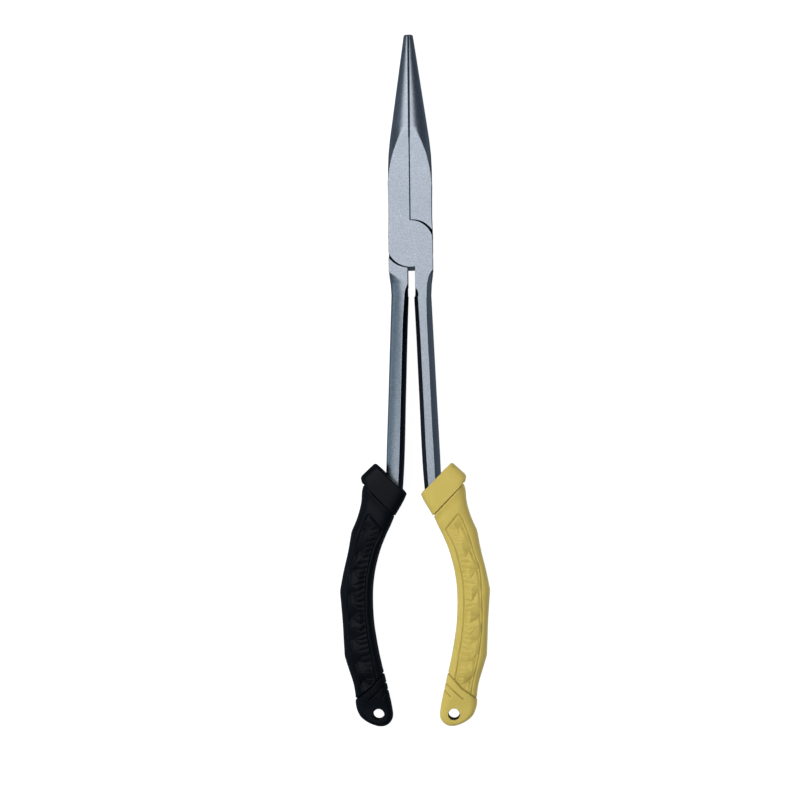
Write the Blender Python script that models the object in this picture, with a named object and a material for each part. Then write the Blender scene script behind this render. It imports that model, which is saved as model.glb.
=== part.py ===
"""Long-reach fishing pliers: two forged levers on a lap joint, a blind rivet and two moulded grips.

Sizes are in millimetres and become metres when a mesh is made. The pliers lie flat: X is their width, +Y
points to the jaw tips and +Z is the front face. Shapes are drawn about the middle plane between the two laps,
and the empty "middle_plane" lifts them so that the world's origin is on the pivot's axis, at the head's rear
face. The rear lever is the front lever turned half a turn about Y, so most shapes are drawn once, for the front
lever, whose arm and grip are on the +X side.
"""

import math

import bmesh
import bpy
from mathutils import Euler, Vector

MM = 0.001

# Head and joint
HEAD_THICKNESS = 10.0
HEAD_HALF_WIDTH = 8.9
LAP_RADIUS = 9.6
LAP_ARC_GAP = 0.35
LAP_FACE_GAP = 0.3
ROUND_SEGMENTS = 64

# Jaws, from the tips at +Y down to the head
JAW_GAP = 0.3
TIP_Y = 84.5
TIP_CHAMFER = 0.4
CONE_TOP_Y = 47.0
SHOULDER_END_Y = 23.0
SHOULDER_POWER = 0.8
TIP_HALF_THICKNESS = 1.9
JAW_ARC_STEPS = 7
JAW_HALF_WIDTHS = ((84.5, 1.85), (42.0, 8.0), (36.0, 8.62), (30.0, 8.87), (24.0, 8.9), (0.0, 8.9))
TEETH_FROM_Y = 43.0
TEETH_TO_Y = 83.0
TOOTH_COUNT = 44
TOOTH_DEPTH = 0.25
TEETH_MARGIN = 0.85

# Arm and tang: x, y, heading in degrees from -Y towards +X, width, front z, back z, share forged (0 is square)
ARM_STATIONS = (
    (5.085, -2.0, 0.0, 7.63, 5.0, -5.0, 0.0),
    (5.085, -11.0, 0.0, 7.63, 5.0, -5.0, 0.0),
    (5.01, -13.3, 0.0, 7.48, 5.0, -4.9, 0.45),
    (4.785, -16.5, 0.0, 7.03, 5.0, -4.6, 1.0),
    (4.65, -21.5, 0.0, 6.9, 4.95, -4.4, 1.0),
    (6.16, -60.0, 2.3, 7.1, 4.6, -4.0, 1.0),
    (7.65, -96.0, 3.0, 7.0, 4.2, -3.6, 1.0),
    (8.6, -100.5, 18.0, 5.9, 3.5, -3.4, 1.0),
    (11.0, -105.3, 34.0, 5.0, 3.2, -3.2, 1.0),
    (15.6, -111.7, 32.0, 4.8, 3.0, -3.0, 1.0),
    (18.9, -118.5, 22.0, 4.8, 3.0, -3.0, 1.0),
    (21.2, -126.5, 13.0, 4.8, 3.0, -3.0, 1.0),
    (22.6, -133.5, 9.0, 4.4, 2.8, -2.8, 1.0),
)
# Arm section, inner side at -1 and outer side at +1, back at -1 and front at +1
SQUARE_SECTION = (
    (-1.0, 1.0), (1.0, 1.0), (1.0, 0.5), (1.0, 0.1), (1.0, -0.3), (1.0, -0.7),
    (1.0, -1.0), (0.1, -1.0), (-0.5, -1.0), (-1.0, -1.0), (-1.0, -0.2), (-1.0, 0.2),
)
FORGED_SECTION = (
    (-0.66, 1.0), (0.37, 1.0), (0.84, 0.48), (1.0, 0.05), (0.97, -0.3), (0.8, -0.62),
    (0.5, -0.86), (0.1, -0.97), (-0.48, -1.0), (-0.86, -0.45), (-1.0, -0.12), (-1.0, 0.12),
)

# Rivet
SHANK_RADIUS = 2.75
RIVET_HEAD_RADIUS = 4.1
RIVET_HEAD_DEPTH = 1.25
RIVET_PLAY = 0.15
BLIND_SKIN = 1.0

# Grip: inner x, inner y, outer x, outer y, half thickness, groove depth, in order from the collar to the lobe
GRIP_STATIONS = (
    (3.5, -100.2, 14.9, -89.1, 5.9, 0.0),
    (3.0, -101.3, 15.9, -88.9, 6.9, 0.0),
    (4.5, -104.8, 21.2, -93.9, 7.0, 0.0),
    (7.6, -109.4, 20.3, -96.9, 7.0, 0.0),
    (7.9, -109.7, 20.4, -97.4, 6.9, 0.9),
    (8.2, -110.3, 20.6, -98.0, 6.9, 0.9),
    (8.4, -110.7, 20.7, -98.3, 6.6, 0.0),
    (9.2, -113.6, 21.2, -104.0, 6.4, 0.0),
    (11.3, -117.8, 23.2, -111.0, 6.4, 0.0),
    (13.2, -122.3, 25.4, -116.2, 6.5, 0.0),
    (15.0, -127.6, 26.8, -123.9, 6.5, 0.0),
    (16.3, -133.6, 28.8, -132.1, 6.6, 0.0),
    (17.0, -140.0, 30.35, -139.2, 6.7, 0.0),
    (17.05, -146.6, 29.9, -146.0, 6.7, 0.0),
    (16.6, -153.5, 29.4, -153.0, 6.6, 0.0),
    (15.8, -159.5, 29.1, -160.0, 6.5, 0.0),
    (14.9, -164.5, 28.75, -166.0, 6.3, 0.0),
    (13.7, -170.5, 27.0, -172.0, 5.9, 0.0),
    (12.3, -176.0, 25.3, -177.6, 5.4, 0.0),
    (10.9, -182.0, 24.5, -183.5, 4.8, 0.0),
    (9.9, -186.9, 24.3, -187.3, 4.7, 0.0),
    (9.5, -190.6, 22.9, -190.6, 4.6, 0.0),
    (10.1, -192.7, 20.5, -192.7, 4.2, 0.0),
    (11.6, -194.2, 17.5, -194.2, 3.0, 0.0),
    (13.2, -194.85, 15.6, -194.85, 1.6, 0.0),
)
GRIP_SECTION_POINTS = 20
GRIP_SQUARENESS = 2.7
LOBE_FLAT_FROM_Y = -186.0
LOBE_FLAT_HEIGHT = 4.0
CORE_FIRST_STATION = 7
CORE_LAST_STATION = 22
CORE_TAIL = 0.45
SKIN_WALL_BODY = 1.9
SKIN_WALL_LOBE = 1.15
PIECE_GAP = 0.3
LANYARD_HOLE = (15.2, -189.9)
LANYARD_RADIUS = 2.4
CORE_BORE_RADIUS = 2.25

HALF = HEAD_THICKNESS / 2
FULL_TURN = 2 * math.pi


def clear_scene():
    for thing in list(bpy.data.objects):
        bpy.data.objects.remove(thing)


def make_material(name, colour, roughness, metallic):
    material = bpy.data.materials.new(name)
    material.use_nodes = True
    shader = material.node_tree.nodes["Principled BSDF"]
    shader.inputs["Base Color"].default_value = (*colour, 1.0)
    shader.inputs["Roughness"].default_value = roughness
    shader.inputs["Metallic"].default_value = metallic
    return material


def steel_material(name):
    return make_material(name, (0.36, 0.41, 0.47), 0.42, 1.0)


def rivet_material(name):
    return make_material(name, (0.42, 0.45, 0.49), 0.35, 1.0)


def yellow_material(name):
    return make_material(name, (0.54, 0.45, 0.10), 0.7, 0.0)


def black_material(name):
    return make_material(name, (0.012, 0.014, 0.018), 0.65, 0.0)


def core_material(name):
    return make_material(name, (0.015, 0.012, 0.010), 0.5, 0.0)


def mesh_object(name, bm):
    """Turns a bmesh drawn in millimetres into an object in metres."""
    bmesh.ops.scale(bm, vec=(MM, MM, MM), verts=bm.verts)
    bmesh.ops.recalc_face_normals(bm, faces=bm.faces)
    mesh = bpy.data.meshes.new(name)
    bm.to_mesh(mesh)
    bm.free()
    thing = bpy.data.objects.new(name, mesh)
    bpy.context.scene.collection.objects.link(thing)
    return thing


def loft(name, rings):
    """A closed solid through rings of the same number of points."""
    bm = bmesh.new()
    rows = [[bm.verts.new(point) for point in ring] for ring in rings]
    count = len(rows[0])
    for row, following in zip(rows, rows[1:]):
        for i in range(count):
            j = (i + 1) % count
            bm.faces.new((row[i], row[j], following[j], following[i]))
    bm.faces.new(rows[0])
    bm.faces.new(list(reversed(rows[-1])))
    return mesh_object(name, bm)


def circle(radius, z, centre=(0.0, 0.0)):
    turns = [FULL_TURN * i / ROUND_SEGMENTS for i in range(ROUND_SEGMENTS)]
    return [(centre[0] + radius * math.cos(t), centre[1] + radius * math.sin(t), z) for t in turns]


def disc(name, radius, low, high, centre=(0.0, 0.0)):
    return loft(name, [circle(radius, low, centre), circle(radius, high, centre)])


def block(name, low, high):
    corners = ((low[0], low[1]), (high[0], low[1]), (high[0], high[1]), (low[0], high[1]))
    return loft(name, [[(x, y, z) for x, y in corners] for z in (low[2], high[2])])


def boolean(target, operation, tool):
    """Applies a Boolean to the target's mesh and removes the tool."""
    modifier = target.modifiers.new(operation.lower(), "BOOLEAN")
    modifier.operation = operation
    modifier.solver = "EXACT"
    modifier.object = tool
    evaluated = target.evaluated_get(bpy.context.evaluated_depsgraph_get())
    mesh = bpy.data.meshes.new_from_object(evaluated)
    target.modifiers.clear()
    target.data = mesh
    bpy.data.objects.remove(tool)


def interpolate(table, y):
    """Reads a value from (y, value) pairs listed from high y to low y."""
    for (y_high, high), (y_low, low) in zip(table, table[1:]):
        if y >= y_low:
            part = (y_high - y) / (y_high - y_low)
            return high + (low - high) * part
    return table[-1][1]


def jaw_half_height(y):
    """Half height of the cone that shapes the jaw; above HEAD_THICKNESS / 2 the ground faces cut it off."""
    if y >= CONE_TOP_Y:
        part = (TIP_Y - y) / (TIP_Y - CONE_TOP_Y)
        return TIP_HALF_THICKNESS + (HALF - TIP_HALF_THICKNESS) * part
    part = max((y - SHOULDER_END_Y) / (CONE_TOP_Y - SHOULDER_END_Y), 0.0)
    return HALF / max(part ** SHOULDER_POWER, 0.02)


def jaw_ring(y, inset=0.0):
    """Section of the left jaw at y: flat inner face, flat front and back, and an elliptical outer side."""
    inner = JAW_GAP / 2
    width = interpolate(JAW_HALF_WIDTHS, y) - inset
    height = jaw_half_height(y) - inset
    flat = width * math.sqrt(max(1 - (HALF / height) ** 2, 0.0))
    flat = max(flat, inner + 0.06)
    start = math.acos(flat / width)
    front = []
    for step in range(JAW_ARC_STEPS + 1):
        angle = start * (1 - step / JAW_ARC_STEPS)
        front.append((width * math.cos(angle), min(height * math.sin(angle), HALF)))
    top = min(height * math.sqrt(1 - (inner / width) ** 2), HALF)
    half = [(inner, top)] + front
    section = half + [(x, -z) for x, z in reversed(half[:-1])]
    return [(-x, y, z) for x, z in section]


def left_jaw(name):
    levels = [TIP_Y - TIP_CHAMFER, 66.0, CONE_TOP_Y, 44.5, 42.0, 39.0, 36.0, 33.0, 30.0, 27.0, 24.0, 2.0]
    rings = [jaw_ring(TIP_Y, TIP_CHAMFER)] + [jaw_ring(y) for y in levels]
    return loft(name, rings)


def teeth_cutter(name):
    """A saw-edged wedge that cuts transverse teeth into the left jaw, short of the jaw's front and back."""
    land = -JAW_GAP / 2 - 0.02
    slope = (HALF - TIP_HALF_THICKNESS) / (TIP_Y - CONE_TOP_Y)
    pitch = (TEETH_TO_Y - TEETH_FROM_Y) / TOOTH_COUNT
    outline = [(1.0, TEETH_TO_Y), (1.0, TEETH_FROM_Y), (land, TEETH_FROM_Y)]
    for tooth in range(TOOTH_COUNT):
        y = TEETH_FROM_Y + tooth * pitch
        outline.append((land - TOOTH_DEPTH, y + pitch / 2))
        outline.append((land, y + pitch))
    heights = [TIP_HALF_THICKNESS + slope * (TIP_Y - y) - TEETH_MARGIN for x, y in outline]
    rings = [[(x, y, side * height) for (x, y), height in zip(outline, heights)] for side in (-1, 1)]
    return loft(name, rings)


def arm_ring(station, grow=0.0):
    """Section of the right arm or tang, grown on all sides to make room around it."""
    x, y, heading, width, front, back, forged = station
    turn = math.radians(heading)
    across = Vector((math.cos(turn), math.sin(turn), 0.0))
    ring = []
    for square, shaped in zip(SQUARE_SECTION, FORGED_SECTION):
        u = square[0] + (shaped[0] - square[0]) * forged
        v = square[1] + (shaped[1] - square[1]) * forged
        point = Vector((x, y, (front + back) / 2))
        point += across * u * (width / 2 + grow)
        point.z += v * ((front - back) / 2 + grow)
        ring.append(point)
    return ring


def end_ring(station, length, shrink):
    """A ring a little further along the tang, for its chamfered end."""
    x, y, heading, width, front, back, forged = station
    turn = math.radians(heading)
    x += math.sin(turn) * length
    y -= math.cos(turn) * length
    return arm_ring((x, y, heading, width, front, back, forged), -shrink)


def right_arm(name):
    rings = [arm_ring(station) for station in ARM_STATIONS]
    rings.append(end_ring(ARM_STATIONS[-1], 0.7, 0.6))
    return loft(name, rings)


def tang_room(name):
    """The space that the arm and tang need inside a grip, with the usual gap all round."""
    inside = ARM_STATIONS[5:]
    rings = [arm_ring(station, PIECE_GAP) for station in inside]
    rings.append(end_ring(inside[-1], 1.1, 0.0))
    return loft(name, rings)


def lever(name):
    """Left jaw, front lap and right arm as one forging, still without its rivet bore."""
    body = left_jaw(name)
    boolean(body, "DIFFERENCE", teeth_cutter("teeth"))
    lap = disc("lap", LAP_RADIUS, -1.0, HALF)
    sides = block("sides", (-HEAD_HALF_WIDTH, -20.0, -6.0), (HEAD_HALF_WIDTH, 20.0, 20.0))
    boolean(lap, "INTERSECT", sides)
    boolean(body, "UNION", lap)
    boolean(body, "UNION", right_arm("arm"))
    other_lap = disc("other_lap", LAP_RADIUS + LAP_ARC_GAP, -HEAD_THICKNESS, LAP_FACE_GAP / 2)
    boolean(body, "DIFFERENCE", other_lap)
    return body


def front_lever():
    body = lever("front_lever")
    bore = disc("bore", SHANK_RADIUS + RIVET_PLAY, -1.0, HALF - BLIND_SKIN)
    boolean(body, "DIFFERENCE", bore)
    return body


def rear_lever():
    """Drawn like the front lever, so its outer face is at +Z until it is turned over."""
    body = lever("rear_lever")
    bore = disc("bore", SHANK_RADIUS + RIVET_PLAY, -1.0, HEAD_THICKNESS)
    boolean(body, "DIFFERENCE", bore)
    floor = HALF - RIVET_HEAD_DEPTH - RIVET_PLAY
    counterbore = disc("counterbore", RIVET_HEAD_RADIUS + RIVET_PLAY, floor, HEAD_THICKNESS)
    boolean(body, "DIFFERENCE", counterbore)
    body.rotation_euler = Euler((0.0, math.pi, 0.0))
    return body


def pivot_rivet():
    """A stepped pin: a flush head in the rear lap and a shank that ends blind in the front lap."""
    shank_end = HALF - BLIND_SKIN - PIECE_GAP
    shoulder = -HALF + RIVET_HEAD_DEPTH
    rings = [
        circle(RIVET_HEAD_RADIUS - 0.25, -HALF),
        circle(RIVET_HEAD_RADIUS, -HALF + 0.25),
        circle(RIVET_HEAD_RADIUS, shoulder),
        circle(SHANK_RADIUS, shoulder),
        circle(SHANK_RADIUS, shank_end - 0.3),
        circle(SHANK_RADIUS - 0.3, shank_end),
    ]
    return loft("pivot_rivet", rings)


def grip_ring(station, inset=0.0):
    """A rounded section of the grip across its line from inner to outer side, flat on the lobe's faces."""
    inner_x, inner_y, outer_x, outer_y, half_thickness, groove = station
    centre = Vector(((inner_x + outer_x) / 2, (inner_y + outer_y) / 2, 0.0))
    across = Vector((outer_x - inner_x, outer_y - inner_y, 0.0)) / 2
    width = across.length - groove - inset
    height = half_thickness - groove - inset
    limit = LOBE_FLAT_HEIGHT - inset if inner_y < LOBE_FLAT_FROM_Y else height
    across.normalize()
    power = 2 / GRIP_SQUARENESS
    ring = []
    for i in range(GRIP_SECTION_POINTS):
        turn = FULL_TURN * (i + 0.5) / GRIP_SECTION_POINTS
        c, s = math.cos(turn), math.sin(turn)
        u = math.copysign(abs(c) ** power, c) * width
        v = math.copysign(min(abs(s) ** power * height, limit), s)
        ring.append(centre + across * u + Vector((0.0, 0.0, v)))
    return ring


def skin_wall(index):
    """Wall of the soft skin outside the core's room; it thins towards the lobe."""
    part = (index - CORE_FIRST_STATION) / (CORE_LAST_STATION - CORE_FIRST_STATION)
    return SKIN_WALL_BODY + (SKIN_WALL_LOBE - SKIN_WALL_BODY) * part


def along(station, following, part):
    return tuple(a + (b - a) * part for a, b in zip(station, following))


def core_solid(name, gap):
    """The hard core without its holes, less the gap on every side; gap 0 gives the room it lies in."""
    rings = []
    first = GRIP_STATIONS[CORE_FIRST_STATION]
    second = GRIP_STATIONS[CORE_FIRST_STATION + 1]
    rings.append(grip_ring(along(first, second, 0.08 * gap / PIECE_GAP), skin_wall(CORE_FIRST_STATION) + gap))
    for index in range(CORE_FIRST_STATION + 1, CORE_LAST_STATION + 1):
        rings.append(grip_ring(GRIP_STATIONS[index], skin_wall(index) + gap))
    last = GRIP_STATIONS[CORE_LAST_STATION]
    following = GRIP_STATIONS[CORE_LAST_STATION + 1]
    tail = CORE_TAIL + (0.2 if gap == 0 else 0.0)
    rings.append(grip_ring(along(last, following, tail), SKIN_WALL_LOBE + gap))
    return loft(name, rings)


def lanyard_cutter(name, radius):
    return disc(name, radius, -HEAD_THICKNESS, HEAD_THICKNESS, LANYARD_HOLE)


def grip_core(name):
    core = core_solid(name, PIECE_GAP)
    boolean(core, "DIFFERENCE", tang_room("room"))
    boolean(core, "DIFFERENCE", lanyard_cutter("hole", CORE_BORE_RADIUS))
    return core


def grip_skin(name):
    skin = loft(name, [grip_ring(station) for station in GRIP_STATIONS])
    boolean(skin, "DIFFERENCE", core_solid("core_room", 0.0))
    boolean(skin, "DIFFERENCE", tang_room("room"))
    boolean(skin, "DIFFERENCE", lanyard_cutter("hole", LANYARD_RADIUS))
    return skin


def finish(thing, material, parent, sharp_degrees=30.0):
    thing.data.materials.clear()
    thing.data.materials.append(material)
    thing.data.shade_smooth()
    thing.data.set_sharp_from_angle(angle=math.radians(sharp_degrees))
    thing.parent = parent


def main():
    clear_scene()
    middle_plane = bpy.data.objects.new("middle_plane", None)
    middle_plane.location = (0.0, 0.0, HALF * MM)
    bpy.context.scene.collection.objects.link(middle_plane)

    finish(front_lever(), steel_material("front_lever_steel"), middle_plane)
    finish(rear_lever(), steel_material("rear_lever_steel"), middle_plane)
    finish(pivot_rivet(), rivet_material("rivet_steel"), middle_plane)

    finish(grip_skin("yellow_grip"), yellow_material("yellow_rubber"), middle_plane)
    finish(grip_core("yellow_grip_core"), core_material("yellow_core_plastic"), middle_plane)
    black = grip_skin("black_grip")
    black_core = grip_core("black_grip_core")
    for thing in (black, black_core):
        thing.rotation_euler = Euler((0.0, math.pi, 0.0))
    finish(black, black_material("black_rubber"), middle_plane)
    finish(black_core, core_material("black_core_plastic"), middle_plane)


main()
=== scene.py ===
import math

import bmesh
import bpy
import numpy as np
from mathutils import Euler, Matrix, Vector


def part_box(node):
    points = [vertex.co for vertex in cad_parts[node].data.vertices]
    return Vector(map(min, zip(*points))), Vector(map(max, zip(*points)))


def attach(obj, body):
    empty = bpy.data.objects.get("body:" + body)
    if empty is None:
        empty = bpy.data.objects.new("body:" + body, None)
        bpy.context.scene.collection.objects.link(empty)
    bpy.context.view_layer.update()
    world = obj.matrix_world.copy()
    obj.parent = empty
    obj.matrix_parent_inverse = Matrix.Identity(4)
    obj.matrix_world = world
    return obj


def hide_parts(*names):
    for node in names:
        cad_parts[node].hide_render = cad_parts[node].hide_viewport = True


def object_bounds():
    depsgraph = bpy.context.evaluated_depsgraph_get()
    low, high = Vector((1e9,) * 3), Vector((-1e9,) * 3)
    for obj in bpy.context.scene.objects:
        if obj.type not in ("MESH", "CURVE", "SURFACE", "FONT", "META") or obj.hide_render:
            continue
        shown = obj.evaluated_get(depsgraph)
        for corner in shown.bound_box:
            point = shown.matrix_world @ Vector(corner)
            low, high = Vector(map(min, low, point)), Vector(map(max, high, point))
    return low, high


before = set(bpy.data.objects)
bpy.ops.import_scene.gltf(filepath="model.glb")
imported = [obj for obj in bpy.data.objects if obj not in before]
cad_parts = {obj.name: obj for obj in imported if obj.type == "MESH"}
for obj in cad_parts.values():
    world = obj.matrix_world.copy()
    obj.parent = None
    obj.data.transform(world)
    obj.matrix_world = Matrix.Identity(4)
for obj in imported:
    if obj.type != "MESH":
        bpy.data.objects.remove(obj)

# The looks of the long-reach fishing pliers. Shapes are drawn in millimetres about the middle plane between
# the laps, for the front lever and the yellow grip, whose arm and grip are on the +X side. The rear lever and
# the black grip are the same shapes turned half a turn about Y.

MM = 0.001
FULL_TURN = 2 * math.pi
CAD_LOW, CAD_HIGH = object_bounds()
REAR_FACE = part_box("rear_lever")[0].z
FRONT_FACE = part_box("front_lever")[1].z
MIDDLE_Z = (REAR_FACE + FRONT_FACE) / 2
HALF = (FRONT_FACE - REAR_FACE) / 2 / MM

# Head and lap joint. Each lap's rim is an arc about the pivot, wider on the arms' side than on the jaws'. The
# other lever's relief leaves LAP_PLAY around it, opening by LAP_RELIEF_SHIFT towards the head's sides.
HEAD_HALF_WIDTH = 8.9
LAP_TOP_RADIUS = 9.25
LAP_RADIUS = 9.6
LAP_BLEND = 0.2
LAP_PLAY = 0.15
LAP_RELIEF_SHIFT = 0.85
LAP_ROOT = 1.0
LAP_FACE_GAP = 0.3
ROUND_SEGMENTS = 192
# Reach of the box that trims a lap to the head's sides: along the tool and forwards, and backwards
PAST_HEAD = 20.0
PAST_REAR_FACE = 6.0

# Drafted end wall of the slot between the arms, and the room cut below it for the other lever
SLOT_END_SIDES = (-0.97, 2.2)
SLOT_END_ROOT_Y = -8.0
SLOT_END_CREST_Y = -9.5
SLOT_END_FOOT_Y = -10.95
SLOT_END_DROP = 0.15
SLOT_ROOM_SIDES = (-1.6, 1.2)
SLOT_ROOM_TO_Y = -12.0

# Jaws: half cones from the tips down to a cone top, then a shoulder that runs out into the flat head
JAW_GAP = 0.004
JAW_CHAMFERS = ((84.5, 0.34), (43.2, 0.34), (42.2, 0.2), (0.0, 0.2))
JAW_HALF_WIDTHS = (
    (84.5, 1.85), (42.0, 8.0), (36.0, 8.62), (30.0, 8.87), (24.0, 8.88),
    (18.0, 8.74), (11.0, 8.7), (6.0, 8.84), (4.0, 8.9),
)
TIP_Y = 84.5
CONE_TOP_Y = 47.0
SHOULDER_END_Y = 23.0
SHOULDER_POWER = 0.8
SHOULDER_LEAST_PART = 0.02
TIP_HALF_THICKNESS = 1.9
TIP_CHAMFER = 0.4
TIP_ROUNDING = 0.12
CONE_STEP = 1.5
SHOULDER_STEP = 0.75
HEAD_LEVELS = (SHOULDER_END_Y, 20.5, 18.0, 14.5, 11.0, 8.5, 6.0, 4.0, 2.0)
JAW_FLAT_STEPS = 12
JAW_SIDE_STEPS = 26
JAW_LEAST_FLAT = 0.06
CHAMFER_DROP = 1.4
CONE_BLEND = 0.32
TEETH_FROM_Y = 43.0
TEETH_TO_Y = 83.0
TOOTH_COUNT = 44
TOOTH_DEPTH = 0.25
TOOTH_LAND = 0.01
TEETH_MARGIN = 0.85

# Finish of the forgings: tolerances of the clean-up, and the angles that tell edges and sides apart
WELD = 0.004
LEVEL_NORMAL = 0.99995
FLAT_DEGREES = 0.05
GROUND_EDGE_DEGREES = 7.0
ROUNDED_EDGE_DEGREES = 26.0
EDGE_ROUNDING = 0.11
EDGE_SEGMENTS = 2
INNER_SIDE_FROM_Y = -17.2
INNER_SIDE_NORMAL = -0.4
# Material slots of a lever; the last is near-black steel as painted shade for the arm's inner side
SATIN, ROUNDED_EDGE, PAINTED_SHADE = 0, 1, 2

# Rivet
RIVET_SEGMENTS = 128
SHANK_RADIUS = 2.75
RIVET_HEAD_RADIUS = 4.1
RIVET_HEAD_DEPTH = 1.25
RIVET_PLAY = 0.15
BLIND_SKIN = 1.0
SHANK_CHAMFER = 0.3
SHANK_END_PLAY = 0.3
BORE_FROM_Z = -1.0
# Outline of the head's outer face: radius, height above that face
RIVET_HEAD_FACE = (
    (0.05, -0.03), (0.8, -0.03), (1.6, -0.02), (2.3, 0.0), (2.45, 0.10), (2.75, 0.10), (2.9, 0.0),
    (3.4, 0.02), (3.75, 0.05), (3.95, 0.12), (4.06, 0.22), (RIVET_HEAD_RADIUS, 0.36),
)

# Arm centre line: x, y, heading in degrees from -Y towards +X, width, front z. It is curved between the two
# levels of ARM_CURVE and straight from point to point outside them.
ARM_LINE = (
    (5.085, -2.0, 0.0, 7.63, 5.0),
    (5.085, -10.8, 0.0, 7.63, 5.0),
    (5.01, -13.3, 0.0, 7.48, 5.0),
    (4.785, -16.5, 0.0, 7.03, 5.0),
    (4.66, -21.0, 0.0, 6.8, 4.96),
    (4.60, -21.7, 0.0, 7.0, 4.95),
    (5.05, -32.0, 1.4, 6.96, 4.87),
    (6.16, -60.0, 2.3, 7.1, 4.6),
    (7.65, -96.0, 3.0, 7.0, 4.2),
    (7.92, -101.2, 3.2, 6.7, 4.1),
    (8.75, -103.4, 24.0, 5.6, 3.5),
    (11.0, -106.0, 34.0, 5.0, 3.2),
    (15.6, -111.7, 32.0, 4.8, 3.0),
    (18.9, -118.5, 22.0, 4.8, 3.0),
    (21.2, -126.5, 13.0, 4.8, 3.0),
    (22.6, -133.5, 9.0, 4.4, 2.8),
)
ARM_CURVE = (-22.0, -100.0)
# Levels of the arm's sections, closest where the arm leaves the head: from, to, step
ARM_LEVELS = ((-10.6, -24.0, -0.25), (-24.0, -100.0, -2.0), (-100.0, -133.0, -1.5))
TANG_END_SHARE = 0.78
TANG_END_STEP = (0.09, -0.7, 0.0)
# Where the arm's edges lie, as shares of its half width, by y
FRONT_INNER_EDGE = (
    (-17.6, -1.0), (-18.4, -0.85), (-19.1, -0.69), (-20.2, -0.60), (-21.5, -0.54), (-37.0, -0.50),
    (-134.0, -0.50),
)
FRONT_OUTER_EDGE = (
    (-10.9, 1.0), (-11.15, 0.93), (-11.6, 0.84), (-12.4, 0.71), (-13.7, 0.565), (-16.2, 0.485),
    (-22.0, 0.46), (-31.0, 0.38), (-60.0, 0.335), (-134.0, 0.335),
)
BACK_INNER_EDGE = (
    (-16.4, -1.0), (-17.0, -0.92), (-19.0, -0.68), (-22.0, -0.54), (-31.0, -0.44), (-134.0, -0.44),
)
# Depth of the arm's back below the middle plane at its inner edge, and the share lost by its outer edge
BACK_CREST = (
    (-10.9, 60.0), (-11.4, 16.0), (-12.5, 9.4), (-13.7, 7.5), (-15.5, 6.3), (-17.5, 5.6), (-20.0, 5.1),
    (-24.0, 4.8), (-31.0, 4.55), (-60.0, 4.15), (-96.0, 3.7), (-100.5, 3.45), (-105.3, 3.2), (-134.0, 2.8),
)
BACK_FALL = ((-10.9, 0.39), (-40.0, 0.39), (-96.0, 0.29))
BACK_SQUARENESS = 4.0
BACK_BLEND = 1.0
# Points round the arm's section: across the front, down the outer slope, round the back, up the inner side
FRONT_STEPS = 6
SLOPE_STEPS = 10
BACK_STEPS = 30
BACK_INNER_STEPS = 6
FRONT_INNER_STEPS = 5
SLOPE_INSET = 0.25
SLOPE_MIDDLE = 0.475
SLOPE_FOOT = 0.05
INNER_BULGE = 0.10
INNER_WAIST = 0.12
# Taken off the inner side of each lever's arm, by y: the front one is slimmer beside the slot
FRONT_ARM_SLIM = ((-2.0, 0.43), (-16.5, 0.41), (-21.0, 0.28), (-21.7, 0.03), (-30.0, 0.0))
REAR_ARM_SLIM = ((-2.0, 0.0), (-30.0, 0.0))


def read(table, y):
    """Reads a value from (y, value) pairs listed from high y to low y."""
    ys = [-row[0] for row in table]
    return float(np.interp(-y, ys, [row[1] for row in table]))


def cubic_through(knots, values, corners, where):
    """A smooth curve through the values; at a corner each side keeps its own direction."""
    knots = np.asarray(knots, float)
    values = np.asarray(values, float)
    corners = np.asarray(corners, bool)[:, None]
    span = np.diff(knots)
    chords = np.diff(values, axis=0) / span[:, None]
    before = np.vstack([chords[:1], chords])
    after = np.vstack([chords, chords[-1:]])
    before_span = np.concatenate([span[:1], span])[:, None]
    after_span = np.concatenate([span, span[-1:]])[:, None]
    blended = (before * after_span + after * before_span) / (before_span + after_span)
    arriving = np.where(corners, before, blended)
    leaving = np.where(corners, after, blended)
    where = np.asarray(where, float)
    k = np.clip(np.searchsorted(knots, where, side="right") - 1, 0, len(knots) - 2)
    h = span[k][:, None]
    t = ((where - knots[k]) / span[k])[:, None]
    t2 = t * t
    t3 = t2 * t
    return (
        (2 * t3 - 3 * t2 + 1) * values[k]
        + (t3 - 2 * t2 + t) * h * leaving[k]
        + (3 * t2 - 2 * t3) * values[k + 1]
        + (t3 - t2) * h * arriving[k + 1]
    )


def smoothstep(t):
    """Rises smoothly from 0 to 1 as t does."""
    t = np.clip(t, 0.0, 1.0)
    return t * t * (3 - 2 * t)


# -------------------- mesh helpers

def mesh_object(name, bm):
    """Turns a bmesh into an object of the scene, with its faces looking outwards."""
    bmesh.ops.recalc_face_normals(bm, faces=bm.faces)
    mesh = bpy.data.meshes.new(name)
    bm.to_mesh(mesh)
    bm.free()
    thing = bpy.data.objects.new(name, mesh)
    bpy.context.scene.collection.objects.link(thing)
    return thing


def loft(name, rings):
    """A closed solid through rings of the same number of points."""
    bm = bmesh.new()
    rows = [[bm.verts.new(point) for point in ring] for ring in rings]
    count = len(rows[0])
    for row, following in zip(rows, rows[1:]):
        for i in range(count):
            j = (i + 1) % count
            bm.faces.new((row[i], row[j], following[j], following[i]))
    bm.faces.new(rows[0])
    bm.faces.new(list(reversed(rows[-1])))
    return mesh_object(name, bm)


def circle(radius, z, centre=(0.0, 0.0), segments=ROUND_SEGMENTS):
    """A ring of points about a vertical axis."""
    turns = [FULL_TURN * i / segments for i in range(segments)]
    return [(centre[0] + radius * math.cos(t), centre[1] + radius * math.sin(t), z) for t in turns]


def disc(name, radius, low, high):
    """A cylinder about the pivot."""
    return loft(name, [circle(radius, low), circle(radius, high)])


def block(name, low, high):
    """A box between two opposite corners."""
    corners = ((low[0], low[1]), (high[0], low[1]), (high[0], high[1]), (low[0], high[1]))
    return loft(name, [[(x, y, z) for x, y in corners] for z in (low[2], high[2])])


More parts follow.
